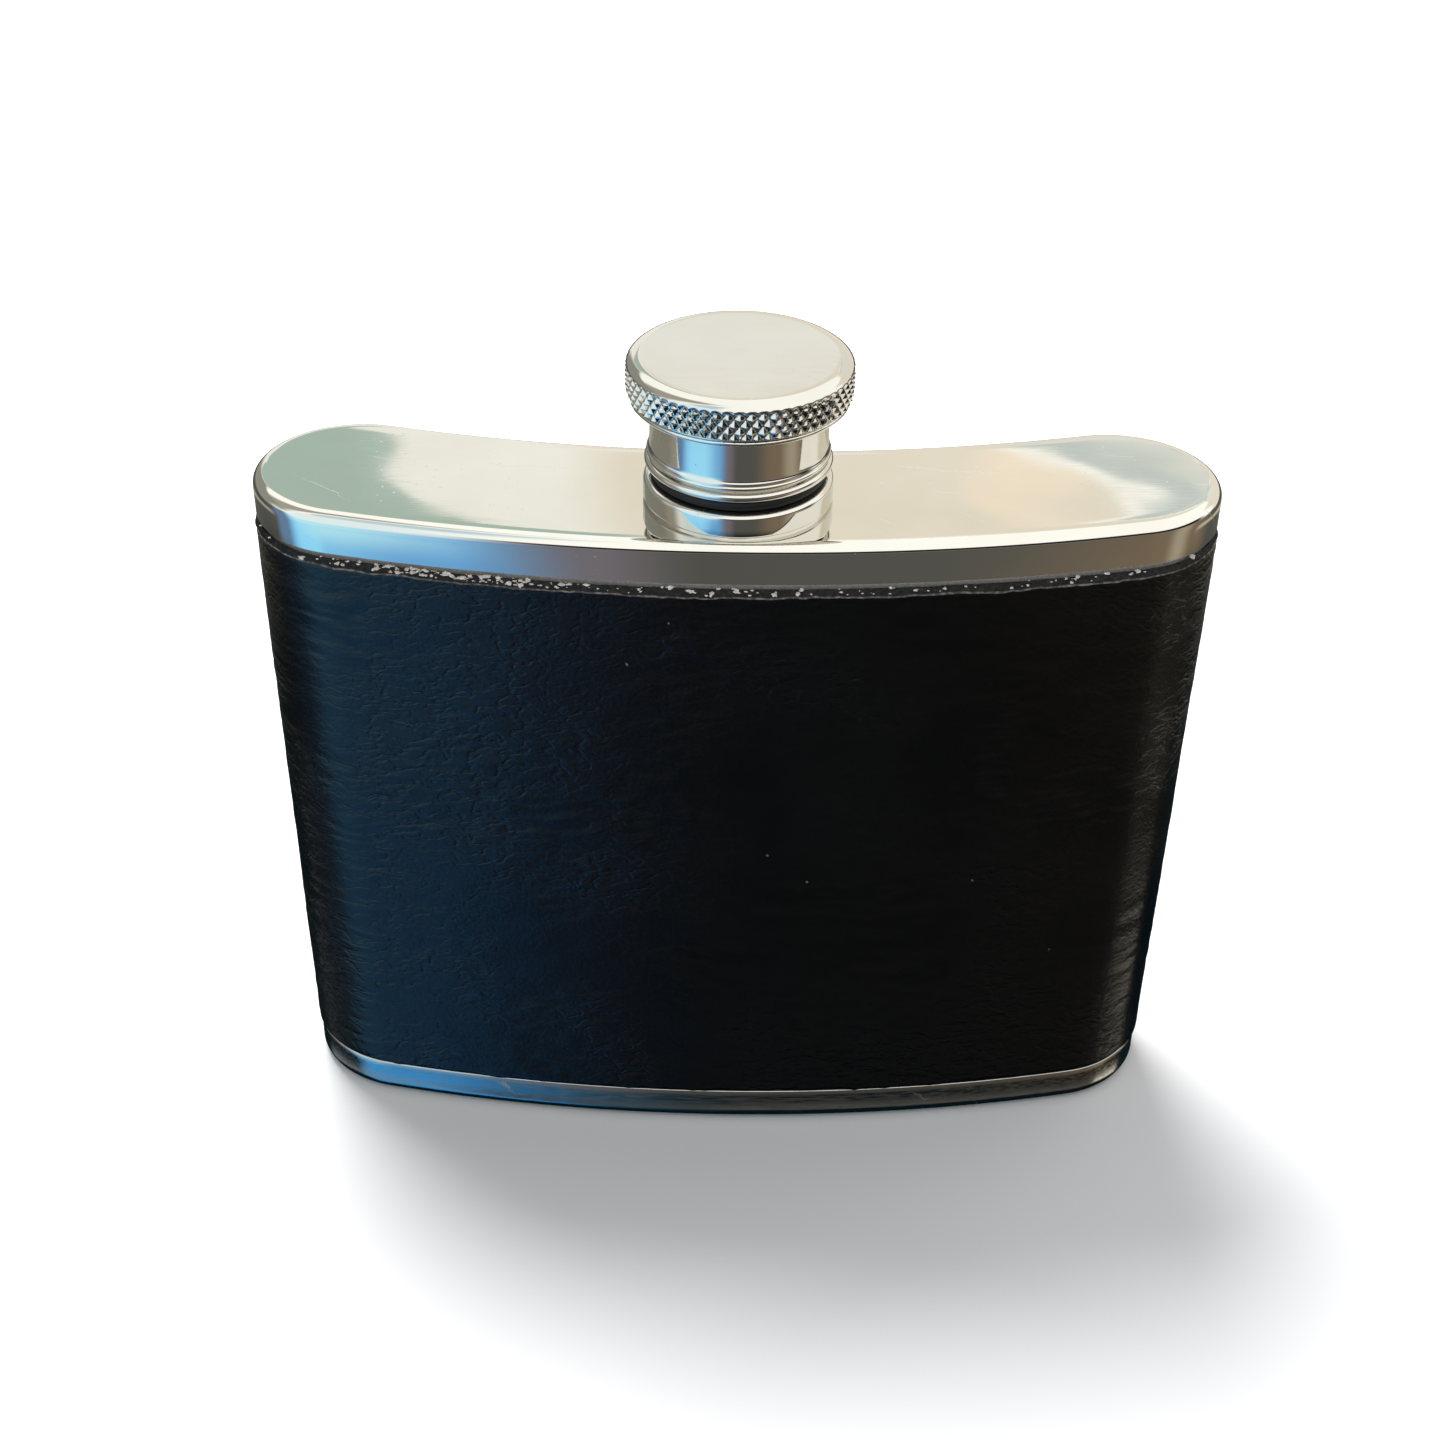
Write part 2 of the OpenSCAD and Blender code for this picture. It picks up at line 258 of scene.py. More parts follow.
def closed_skin(rings, relief=None, across=24):
    """A closed solid: rings from the first flat outline round to the last, both filled.

    relief gives the height of the last flat's inner points from their x and y."""
    loops = np.concatenate(rings)
    last = len(rings) - 1
    low, high = ladder(rings[0], across), ladder(rings[-1], across)
    if relief is not None:
        high[..., 2] += relief(high[..., 0], high[..., 1])
    low_start = len(loops)
    high_start = low_start + low[..., 0].size
    points = np.concatenate([loops, low.reshape(-1, 3), high.reshape(-1, 3)])
    faces = grid_faces(len(rings), LOOP)
    faces += fill(0, rings[0], low_start, across)
    faces += fill(last * LOOP, rings[-1], high_start, across)
    return points, faces


print("outline", LOOP, "points, length",
      round(float(np.linalg.norm(np.diff(outline(30.0), axis=0), axis=1).sum()), 1), "mm")

# %% [markdown]
# ## Colours and nodes
# Colours are written the way a paint or web chart gives them, in sRGB hex, and one function turns
# them to the linear values that a shader works in. One small function adds a shader node with its
# settings and its links. A plain moulded or dried material needs little more than two close tones
# that drift into each other, so one function makes the rubber, the plastic and the glue.

# %% Colour and node helpers
PER_M = 1000.0          # a pattern with one cell to a millimetre has this scale


def linear(code, strength=1.0):
    """The linear RGBA of an sRGB hex colour."""
    parts = [int(code[i:i + 2], 16) / 255 for i in (1, 3, 5)]
    return tuple(strength * (c / 12.92 if c <= 0.04045 else ((c + 0.055) / 1.055) ** 2.4)
                 for c in parts) + (1.0,)


def add(tree, kind, inputs=None, **settings):
    """Adds a node of a kind. inputs gives a value, or a socket to link, for each input."""
    node = tree.nodes.new(kind)
    for key, value in settings.items():
        setattr(node, key, value)
    for key, value in (inputs or {}).items():
        if isinstance(value, bpy.types.NodeSocket):
            tree.links.new(value, node.inputs[key])
        else:
            node.inputs[key].default_value = value
    return node


def new_material(name, **shader):
    """A material with its Principled shader set, and the object's own coordinates ready."""
    material = bpy.data.materials.new(name)
    material.use_nodes = True
    tree = material.node_tree
    principled = tree.nodes["Principled BSDF"]
    for key, value in shader.items():
        principled.inputs[key.replace("_", " ")].default_value = value
    place = add(tree, "ShaderNodeTexCoord").outputs["Object"]
    return material, tree, principled, place


def feed(tree, shader, **outputs):
    """Links outputs to the shader's inputs. A key has _ where the input's name has a space."""
    for key, output in outputs.items():
        tree.links.new(output, shader.inputs[key.replace("_", " ")])


def scaled(tree, place, x, y, z):
    """The coordinates stretched: a larger number packs a pattern closer on that axis."""
    return add(tree, "ShaderNodeMapping", {"Vector": place, "Scale": (x, y, z)}).outputs["Vector"]


def mottled(name, per_mm, detail, dark, light, **shader_values):
    """A material whose colour drifts between two tones, with so many cells to a millimetre."""
    material, tree, shader, place = new_material(name, **shader_values)
    cloud = add(tree, "ShaderNodeTexNoise", {"Vector": place, "Scale": per_mm * PER_M,
                                             "Detail": detail})
    tint = add(tree, "ShaderNodeMix", {"Factor": cloud.outputs["Fac"], "A": linear(dark),
                                       "B": linear(light)}, data_type="RGBA")
    feed(tree, shader, Base_Color=tint.outputs["Result"])
    return material


def wear(piece, *materials):
    """Gives a piece its materials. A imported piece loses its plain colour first. A new piece isn't
    cleared, because that would send all its faces back to the first material."""
    if piece.data.materials:
        piece.data.materials.clear()
    for material in materials:
        piece.data.materials.append(material)
    print(piece.name, "wears", ", ".join(material.name for material in materials))


print("#808080, a middle grey, is", round(linear("#808080")[0], 3), "in linear light")

# %% [markdown]
# ## Polished stainless steel
# The top, the foot, the collar and the cap are austenitic stainless steel sheet and bar, buffed
# with a fine compound. A mirror polish has a roughness near 0.05. Years in a pocket leave a haze
# of hairlines, specks and a few long scratches. The roughness drifts from 0.025 to 0.055 on the
# top, to 0.09 on the cap and to 0.24 on the foot, which stands on tables. The surface also waves
# by about a tenth of a millimetre or less, which bends what it reflects. One function makes all
# three finishes, because they differ only in these amounts.

# %% Straight scratches
CORE, SHOULDER = 0.02, 0.06     # mm from a scratch's middle, where it is deep and where it ends


def straight_marks(tree, place, drift, families):
    """Thin straight scratches, 1 on a scratch. A family is (its direction across, spacing in mm,
    the range of drift in which it shows)."""
    total = None
    for across, spacing, seen_from, seen_to in families:
        along = add(tree, "ShaderNodeVectorMath", {0: place, 1: across}, operation="DOT_PRODUCT")
        turn = add(tree, "ShaderNodeMath", {0: along.outputs["Value"], 1: PER_M / spacing,
                                            2: drift.outputs["Fac"]}, operation="MULTIPLY_ADD")
        off = add(tree, "ShaderNodeMath", {0: turn.outputs[0], 1: 0.5}, operation="PINGPONG")
        line = add(tree, "ShaderNodeMapRange", {
            "Value": off.outputs[0], "From Min": CORE / spacing, "From Max": SHOULDER / spacing,
            "To Min": 1.0, "To Max": 0.0})
        seen = add(tree, "ShaderNodeMapRange", {
            "Value": drift.outputs["Fac"], "From Min": seen_from, "From Max": seen_to})
        mark = add(tree, "ShaderNodeMath", {0: line.outputs[0], 1: seen.outputs[0]},
                   operation="MULTIPLY")
        total = mark if total is None else add(
            tree, "ShaderNodeMath", {0: total.outputs[0], 1: mark.outputs[0]},
            operation="MAXIMUM")
    return total


# %% Polished stainless steel
def polished_steel(name, bright, haze_low, haze_high, wave, grit_depth):
    """Steel of a brightness, a range of roughness, and waves and grit of a depth in mm."""
    material, tree, shader, place = new_material(name, Metallic=1.0)
    drift = add(tree, "ShaderNodeTexNoise", {"Vector": place, "Scale": 0.12 * PER_M, "Detail": 4.0})
    tone = add(tree, "ShaderNodeMix", {"Factor": drift.outputs["Fac"],
                                       "A": linear("#DCD9D0", bright),
                                       "B": linear("#E8E6E0", bright)}, data_type="RGBA")
    # hairlines a fifth of a millimetre wide and a few millimetres long, as coarse as they need
    # to be to show; on the real metal they are finer
    hair = add(tree, "ShaderNodeTexNoise", {
        "Vector": scaled(tree, place, 0.3, 5.0, 5.0), "Scale": PER_M, "Detail": 3.0})
    # pits and dust one to three tenths of a millimetre across, in loose groups
    shaken = add(tree, "ShaderNodeVectorMath", {0: hair.outputs["Color"], 1: (0.15 * MM,) * 3,
                                                2: place}, operation="MULTIPLY_ADD")
    specks = add(tree, "ShaderNodeTexVoronoi", {"Vector": shaken.outputs[0],
                                                "Scale": 0.8 * PER_M})
    speck = add(tree, "ShaderNodeMapRange", {
        "Value": specks.outputs["Distance"], "From Min": 0.04, "From Max": 0.12,
        "To Min": 1.0, "To Max": 0.0})
    few = add(tree, "ShaderNodeMapRange", {
        "Value": drift.outputs["Fac"], "From Min": 0.52, "From Max": 0.6})
    spot = add(tree, "ShaderNodeMath", {0: speck.outputs[0], 1: few.outputs[0]},
               operation="MULTIPLY")
    scratch = straight_marks(tree, place, drift, (((0.1, 1.0, 0.5), 5.0, 0.60, 0.68),
                                                  ((0.8, 0.9, 0.9), 8.0, 0.40, 0.34)))
    marks = add(tree, "ShaderNodeMath", {0: spot.outputs[0], 1: scratch.outputs[0]},
                operation="MAXIMUM")
    haze = add(tree, "ShaderNodeMapRange", {
        "Value": hair.outputs["Fac"], "From Min": 0.35, "From Max": 0.7,
        "To Min": haze_low, "To Max": haze_high})
    rough = add(tree, "ShaderNodeMath", {0: marks.outputs[0], 1: 0.5, 2: haze.outputs[0]},
                operation="MULTIPLY_ADD")
    swell = add(tree, "ShaderNodeTexNoise", {"Vector": place, "Scale": 0.07 * PER_M, "Detail": 1.0})
    bent = add(tree, "ShaderNodeBump", {"Height": swell.outputs["Fac"], "Strength": 1.0,
                                        "Distance": wave * MM})
    grit = add(tree, "ShaderNodeBump", {"Height": hair.outputs["Fac"], "Strength": 0.25,
                                        "Distance": grit_depth * MM,
                                        "Normal": bent.outputs["Normal"]})
    feed(tree, shader, Base_Color=tone.outputs["Result"], Roughness=rough.outputs[0],
         Normal=grit.outputs["Normal"])
    return material


lid_steel = polished_steel("polished stainless steel sheet", 1.0, 0.025, 0.055, 0.04, 0.001)
cap_steel = polished_steel("polished stainless steel bar", 0.95, 0.04, 0.09, 0.06, 0.002)
foot_steel = polished_steel("scuffed stainless steel sheet", 0.62, 0.09, 0.24, 0.12, 0.005)
print("made", lid_steel.name, "and", cap_steel.name, "and", foot_steel.name)

# %% [markdown]
# ## The top plate
# The top is pressed from one sheet: a flat kidney, a rolled edge and a short skirt that slips over
# the body. A bevel modifier could round a plain slab's edge, but rings that follow the outline
# also let the skirt's front lean in a little, as pressing leaves it. Polishing on a soft wheel
# leaves hills of a few hundredths of a millimetre on the flat, which bend what it reflects. The
# neck's hole is cut last, with a boolean.

# %% The shape of a pressing
PLATE_T, SHEET_T = 0.8, 0.5     # mm, the flat part and the wall of a pressing
CORNER = 0.5            # mm, the height of the slope inside its corner
BULGE = 0.15            # mm, how far the skirt's front leans in over its height
skirt_z = lid_low[2]


def front_share(z):
    """1 on the front face, falling smoothly to 0 round the ends and on the back."""
    outward = outline(z, 0.01) - outline(z, 0.0)
    return np.clip(-outward[:, 1] / 0.01, 0, 1) ** 4


def pulled_in(points, z, amount):
    """The front of an outline pulled in by an amount, as a soft bulge of the skirt."""
    share = (front_share(z) * amount)[:, None]
    return points * (1 - share) + outline(z, -1.0) * share


def rolled(z_flat, way, steps=10, pulled=0.0):
    """Rings from a pressing's flat face out over its rolled edge to its side."""
    rings = []
    for a in np.linspace(0, math.pi / 2, steps + 1):
        z = z_flat - way * EDGE_R * (1 - math.cos(a))
        ring = pulled_in(outline(z, -EDGE_R * (1 - math.sin(a))), z, pulled * math.sin(a))
        rings.append(level(ring, z))
    return rings


def buffed(x, y):
    """Height of the top plate's flat: hills of two hundredths of a millimetre."""
    u, v = (x + 50) / 100, (y + 15) / 30        # 0 to 1 over 100 mm by 30 mm
    return 0.02 * soft_noise(u, v, 7, 3, 21)


# %% The top plate
under = LID_Z - PLATE_T
rings = [level(outline(under, -EDGE_R), under), outline(under - CORNER, -SHEET_T),
         outline(skirt_z, -SHEET_T)]
for climb in np.linspace(0, 1, 9)[:-1]:
    z = skirt_z + (rim_z - skirt_z) * climb
    rings.append(pulled_in(outline(z, 0.0), z, BULGE * climb ** 2))
rings += rolled(LID_Z, 1, pulled=BULGE)[::-1]
top = make_piece("top_plate_skin", *closed_skin(rings, buffed), "flask", "polished_steel",
                 "top_plate")
wear(top, lid_steel)

# %% The hole for the neck
HOLE_R, HOLE_STEPS, CLEAR = 7.35, 96, 3
drill_points, drill_faces = turned([(HOLE_R, under - CLEAR), (HOLE_R, LID_Z + CLEAR)], HOLE_STEPS)
drill_faces += [list(range(HOLE_STEPS)), list(range(HOLE_STEPS, 2 * HOLE_STEPS))]
drill = bpy.data.meshes.new("drill")
drill.from_pydata((drill_points * MM).tolist(), [], drill_faces)
drill_object = bpy.data.objects.new("drill", drill)
bpy.context.scene.collection.objects.link(drill_object)
hole = top.modifiers.new("neck hole", "BOOLEAN")
hole.object, hole.operation, hole.solver = drill_object, "DIFFERENCE", "EXACT"
bpy.context.view_layer.update()
cut = bpy.data.meshes.new_from_object(top.evaluated_get(bpy.context.evaluated_depsgraph_get()))
top.modifiers.clear()
top.data = cut
bpy.data.objects.remove(drill_object)
print("top plate with its neck hole:", len(cut.vertices), "vertices")

# %% [markdown]
# ## The foot
# The foot is a second pressing. It stands on a ring, and the panel inside the ring is pressed up
# by about half a millimetre so that the flask doesn't rock. The band above the ring takes the
# scuffs of every table, so its polish is duller than the top's. It is made like the top, and the
# same rolled edge is turned over for it.

# %% The foot
RING_W, RECESS = 3.6, 0.6   # mm, the ring it stands on and the height of the panel inside
INNER_GAP = 0.3             # mm, how much further in the slope starts on the sheet's upper side
BAND_LIP_R, LEAN = 0.3, 0.08    # mm, the band's rounded lip and how far its top leans in
panel = level(outline(0, -RING_W - RECESS), RECESS)
rings = [panel, outline(0, -RING_W)] + rolled(0, -1)
rings += [outline(EDGE_R + (band_z - BAND_LIP_R - EDGE_R) * climb, -LEAN * climb ** 2)
          for climb in np.linspace(0, 1, 7)[1:]]
rings += [outline(band_z - BAND_LIP_R * (1 - math.sin(t)), -LEAN - BAND_LIP_R * (1 - math.cos(t)))
          for t in np.radians([20, 40, 60, 80])]
rings += [outline(band_z, -SHEET_T), outline(PLATE_T + CORNER, -SHEET_T),
          level(outline(PLATE_T, -EDGE_R), PLATE_T),
          level(outline(PLATE_T, -RING_W - INNER_GAP), PLATE_T),
          level(outline(PLATE_T, -RING_W - INNER_GAP - RECESS), PLATE_T + RECESS)]
foot = make_piece("foot_pan", *closed_skin(rings), "flask", "polished_steel", "foot_plate")
wear(foot, foot_steel)

# %% [markdown]
# ## The turned parts
# The collar, the cap's barrel and the neck come off a lathe, so each is a profile turned round
# the neck's axis. A screw modifier could turn it too, but points in a grid are easy to shape
# further. The collar is one rounded ring that draws in where it meets the top. The black rubber
# gasket fills the gap between it and the cap, and its colour is darkened further as painted shade in
# that gap.

# %% The collar and the gasket
BORE_R = 7.32               # mm, the hole of both rings
HEEL_R, HEEL_H = 0.3, 0.5   # mm, the rounding at the collar's foot and its height
DRAWN_IN, DRAWN_H = 0.25, 0.15  # mm, how far the collar draws in at the top plate, and how high
SHOULDER_R = 0.55           # mm, the rounding of its upper edge
collar_r = (collar_high[0] - collar_low[0]) / 2
collar_top = collar_high[2]
profile = [(BORE_R, LID_Z), (collar_r - DRAWN_IN, LID_Z), (collar_r - DRAWN_IN, LID_Z + DRAWN_H),
           *rounded((collar_r - HEEL_R, LID_Z + HEEL_H), HEEL_R, -60, 0),
           *rounded((collar_r - SHOULDER_R, collar_top - SHOULDER_R), SHOULDER_R, 0, 90, 10),
           (BORE_R, collar_top)]
collar = make_piece("collar_ring", *turned([*profile, profile[0]]), "flask", "polished_steel",
                    "neck_collar")
wear(collar, cap_steel)

gasket_r = (gasket_high[0] - gasket_low[0]) / 2
gasket_mid = (gasket_high[2] - gasket_low[2]) / 2
profile = [(BORE_R, gasket_low[2]),
           *rounded((gasket_r - gasket_mid, gasket_low[2] + gasket_mid), gasket_mid, -90, 90),
           (BORE_R, gasket_high[2])]
gasket = make_piece("gasket_ring", *turned([*profile, profile[0]]), "flask", "black_rubber",
                    "neck_gasket")
# nitrile rubber is matt and black; both tones are darkened to nearly black as painted shade for the
# gap under the cap, with a faint bloom in cells of half a millimetre
wear(gasket, mottled("moulded nitrile rubber with painted shade", 2, 3.0, "#050506", "#0D0D0F", Roughness=0.6))

# %% [markdown]
# ## The screw thread
# A thread is a ridge that climbs by one pitch, here 2 mm, in each turn. The neck carries it on
# the outside and the cap on the inside, half a pitch apart, so the two ridges pass each other
# as the cap turns. Each ridge starts and ends low, the way a cutter runs in and out. A helix of
# points and its faces are enough, because the ridge only has to sink a little into its wall.

# %% Thread ridges
PITCH, TURNS, TURN_STEPS = 2.0, 2.5, 96
NECK_ROOT, NECK_CREST, CAP_CREST, CAP_ROOT = 6.6, 7.2, 6.8, 7.4     # mm, radii
NECK_START = 5.2            # mm above the top plate, where the neck's ridge starts
SUNK = 0.2                  # mm, how deep a ridge sits in its wall


def ridge(r_foot, r_crest, z_start):
    """Points and faces of a right-handed ridge that is sunk a little into its wall."""
    way = 1 if r_crest > r_foot else -1
    n = int(TURN_STEPS * TURNS)
    i = np.arange(n + 1)
    full = np.clip(0.2 + 0.8 * np.minimum(i, n - i) / (TURN_STEPS / 4), 0, 1)
    angle = 2 * np.pi * i / TURN_STEPS
    z = z_start + PITCH * i / TURN_STEPS
    sunk = np.full(n + 1, r_foot - way * SUNK)
    tip = r_foot + (r_crest - r_foot) * full
    soft_tip = r_foot + (r_crest - r_foot) * full * 0.85
    shape = [(sunk, -0.48), (soft_tip, -0.26), (tip, -0.14), (tip, 0.14), (soft_tip, 0.26),
             (sunk, 0.48)]
    points = np.stack([np.stack([r * np.cos(angle), AXIS_Y + r * np.sin(angle), z + dz], axis=-1)
                       for r, dz in shape], axis=1)
    faces = grid_faces(n + 1, len(shape))
    ends = [list(range(len(shape))), list(range(n * len(shape), (n + 1) * len(shape)))]
    return points.reshape(-1, 3), faces + ends


def joined(*parts):
    """The points and faces of several shapes as one."""
    points, faces = [], []
    for part_points, part_faces in parts:
        start = sum(len(p) for p in points)
        points.append(part_points)
        faces += [[i + start for i in face] for face in part_faces]
    return np.concatenate(points), faces


# %% The neck
POUR_R, FLANGE_R, FLANGE_T = 5.0, 8.6, 0.8  # mm, its bore, and the flange under the top plate
PLAIN_R, PLAIN_H = 7.3, 1.2     # mm, the part with no thread, and its height over the collar
NECK_LIP_R = 0.3
neck_floor, neck_top = neck_low[2], neck_high[2]
profile = [(POUR_R, neck_floor), (FLANGE_R, neck_floor), (FLANGE_R, neck_floor + FLANGE_T),
           (PLAIN_R, neck_floor + FLANGE_T), (PLAIN_R, collar_top + PLAIN_H),
           (NECK_ROOT, collar_top + PLAIN_H), (NECK_ROOT, neck_top - NECK_LIP_R),
           *rounded((NECK_ROOT - NECK_LIP_R, neck_top - NECK_LIP_R), NECK_LIP_R, 0, 90, 5),
           *rounded((POUR_R + NECK_LIP_R, neck_top - NECK_LIP_R), NECK_LIP_R, 90, 180, 5)]
tube = turned([*profile, profile[0]])
neck = make_piece("neck_tube", *joined(tube, ridge(NECK_ROOT, NECK_CREST, LID_Z + NECK_START)),
                  "flask", "body_steel", "neck")
wear(neck, cap_steel)

# %% [markdown]
# ## The cap's barrel
# The barrel is a thick cup that ends below in a small flared step, a fine groove and a rounded
# bead. Its closed end is brazed inside the knurled head, and a soft washer lies under that end,
# where it is pressed onto the neck's lip to seal. Both are turned, like the collar.

# %% The barrel
BARREL_R, BEAD_H, STEP_R, STEP_ROUND, FLARE_R = 8.9, 0.95, 9.2, 0.25, 0.9   # mm
GROOVE_DEEP, GROOVE_H, WASHER_GAP, MOUTH = 0.65, 0.25, 0.025, 0.3           # mm
bead_r = (barrel_high[0] - barrel_low[0]) / 2
rim, barrel_top = barrel_low[2], barrel_high[2]
roof = washer_high[2] + WASHER_GAP
step_z = rim + BEAD_H + GROOVE_H
profile = [(0.0, roof), (CAP_ROOT, roof), (CAP_ROOT, rim + MOUTH), (CAP_ROOT + MOUTH, rim),
           *rounded((bead_r - BEAD_H / 2, rim + BEAD_H / 2), BEAD_H / 2, -90, 90, 12),
           (bead_r - GROOVE_DEEP, rim + BEAD_H + 0.08), (bead_r - GROOVE_DEEP, step_z),
           *rounded((STEP_R - STEP_ROUND, step_z + STEP_ROUND), STEP_ROUND, -90, 60, 8),
           *rounded((BARREL_R + FLARE_R, step_z + 1.25), FLARE_R, 215, 180, 6),
           (BARREL_R, barrel_top), (0.0, barrel_top)]
cap_start = LID_Z + NECK_START + PITCH / 2
barrel = make_piece("cap_barrel_cup",
                    *joined(turned(profile, 192), ridge(CAP_ROOT, CAP_CREST, cap_start)),
                    "cap", "polished_steel", "cap_barrel")
wear(barrel, cap_steel)

# %% The washer
CHAMFER = 0.15
washer_r = (washer_high[0] - washer_low[0]) / 2
profile = [(0.0, washer_low[2]), (washer_r - CHAMFER, washer_low[2]),
           (washer_r, washer_low[2] + CHAMFER), (washer_r, washer_high[2]), (0.0, washer_high[2])]
washer = make_piece("washer_disc", *turned(profile, 96), "cap_lift", "washer_plastic",
                    "sealing_washer")
# polythene lets a little light in, so it looks milky and its edge glows softly
wear(washer, mottled("moulded polythene", 0.6, 3.0, "#E8E4D6", "#F1EFE6", Roughness=0.45,
                     IOR=1.51, Subsurface_Weight=0.15, Subsurface_Scale=0.5 * MM))

# %% [markdown]
# ## The knurled head
# A knurl is rolled in by two toothed wheels, one leaning each way, which leaves rows of small
# pyramids, here about 1.1 mm across. A bump map would look flat at the head's edge against the
# light, so they are real geometry: the wall has several points to each groove, and each point
# sinks by how near it is to a groove of either lean. A smooth lip runs below the knurl, and the
# top has a rounded bevel and a flat.

# %% The head's profile
HEAD_R = (crown_high[0] - crown_low[0]) / 2
head_z, cap_top = crown_low[2], crown_high[2]
FLAT_R, BEVEL_H, HEAD_LIP_R, JOINT = 9.8, 1.05, 0.27, 0.02  # mm; the joint is the brazing's gap
band_low, band_high = head_z + 0.8, cap_top - BEVEL_H + 0.12
lip_mid = (HEAD_R - 0.68, head_z + HEAD_LIP_R)
bevel_w = HEAD_R - FLAT_R

band_rows = np.linspace(band_low + 0.15, band_high, 31)
bevel = [(FLAT_R + bevel_w * math.cos(a), cap_top - BEVEL_H * (1 - math.sin(a)))
         for a in np.radians(np.linspace(8, 90, 16))]
flat = [(r, cap_top) for r in (9.4, 8.6, 7.4, 6, 4.5, 3, 1.5, 0.0)]
before = [(0.0, barrel_top + JOINT), (BARREL_R + JOINT, barrel_top + JOINT),
          (BARREL_R + JOINT, head_z), *rounded(lip_mid, HEAD_LIP_R, -90, 75, 10),
          (HEAD_R - 0.62, band_low - 0.1), (HEAD_R - 0.3, band_low)]
profile = np.array([*before, *[(HEAD_R, z) for z in band_rows], *bevel, *flat])
print("head profile:", len(profile), "points,", round(cap_top - head_z, 2), "mm tall")

# %% The knurl
TEETH, STEPS_PER_TOOTH = 62, 12
TOOTH_H, KNURL_DEPTH = 1.5, 0.34    # mm
BLUNT = 1.12                        # the pyramids' tips are cut off by about a tenth
BEVEL_ROWS = 6                      # the grooves run out over the bevel's first rows
steps = TEETH * STEPS_PER_TOOTH
points, faces = turned(profile, steps)
points = points.reshape(len(profile), steps, 3)
turn = np.arange(steps) / STEPS_PER_TOOTH
for row in range(len(before), len(before) + len(band_rows) + BEVEL_ROWS):
    z = profile[row, 1]
    climb = (z - band_low) / TOOTH_H
    lean_a = np.abs((turn + climb) % 1 - 0.5) * 2
    lean_b = np.abs((turn - climb) % 1 - 0.5) * 2
    peak = np.minimum(np.minimum(lean_a, lean_b) * BLUNT, 1.0)
    fade = np.clip((band_high + 0.25 - z) / 0.4, 0, 1) * np.clip((z - band_low) / 0.2 + 0.3, 0, 1)
    sink = KNURL_DEPTH * (1 - peak) * fade
    shrink = (profile[row, 0] - sink) / profile[row, 0]
    points[row, :, 0] *= shrink
    points[row, :, 1] = AXIS_Y + (points[row, :, 1] - AXIS_Y) * shrink
crown = make_piece("cap_head", points.reshape(-1, 3), faces, "cap", "polished_steel", "cap_crown")
wear(crown, cap_steel)
print("knurl:", TEETH, "teeth,", round(2 * math.pi * HEAD_R / TEETH, 2), "mm apart")

# %% [markdown]
# ## The leather sleeve
# The sleeve is one piece of vegetable-tanned leather, dyed black, glued round the body and butted
# at the middle of the back. It is about a millimetre thick on the faces and pulled thinner over
# the narrow ends. Its edges are pared and left raw. A solidify modifier would give it an even
# thickness and square edges, so the skin is a fine grid instead. Folds of a few hundredths of a
# millimetre raise and sink it, and the slanted cut along its top is ragged.

# %% Rows of the leather sleeve
GLUE, LEATHER_T, SEAM = 0.12, 1.1, 0.14     # mm
FOOT_BEVEL = 0.7            # mm, the height of the pared lower edge
LIP_DROP, CUT_DROP, GROOVE = 1.05, 0.30, 0.62   # below z1: the cut's outer edge, inner edge, foot
SHEET_INSET = SHEET_T + 0.04
END_PROUD, FACE_PROUD = 0.15, LEATHER_T + GLUE - SHEET_INSET
z0, z1 = sleeve_low[2], sleeve_high[2]


def sleeve_row(z, proud):
    """One row of the sleeve, open at the seam in the middle of the back.

    proud is 1 on the grain side and 0 on the glued side. The ends are pulled thinner."""
    glued = GLUE - SHEET_INSET
    loop = outline(z, glued + (END_PROUD - glued) * proud, glued + (FACE_PROUD - glued) * proud)
    row = np.vstack([loop, loop[:1]])
    row[0, 0] -= SEAM / 2
    row[-1, 0] += SEAM / 2
    return row


foot_t = np.linspace(0, 1, 6)[:-1]
face_z = np.linspace(z0 + FOOT_BEVEL, z1 - LIP_DROP - 0.12, 240)
cut_t = np.linspace(0, 1, 9)
row_z = np.concatenate([z0 + FOOT_BEVEL * foot_t, face_z, [z1 - LIP_DROP - 0.04],
                        z1 - LIP_DROP + (LIP_DROP - CUT_DROP) * cut_t, [z1 - 0.50, z1 - GROOVE]])
# how far out each row stands, from the pared foot to the slanted cut
row_proud = np.concatenate([0.25 + 0.75 * np.sin(foot_t * math.pi / 2) ** 0.8, 1 + 0 * face_z, [0.99],
                            0.95 - 0.48 * cut_t, [0.36, 0.14]])
cut_start = len(foot_t) + len(face_z) + 1
rough_share = np.zeros(len(row_z))
rough_share[:len(foot_t)] = 1 - foot_t
rough_share[cut_start:] = 1.0
outer = np.stack([sleeve_row(z, proud) for z, proud in zip(row_z, row_proud)])
inner = np.stack([sleeve_row(z, 0.0) for z in row_z[[0, -1]]])
print("sleeve:", len(row_z), "rows from", round(z0, 2), "to", round(z1, 2), "mm")

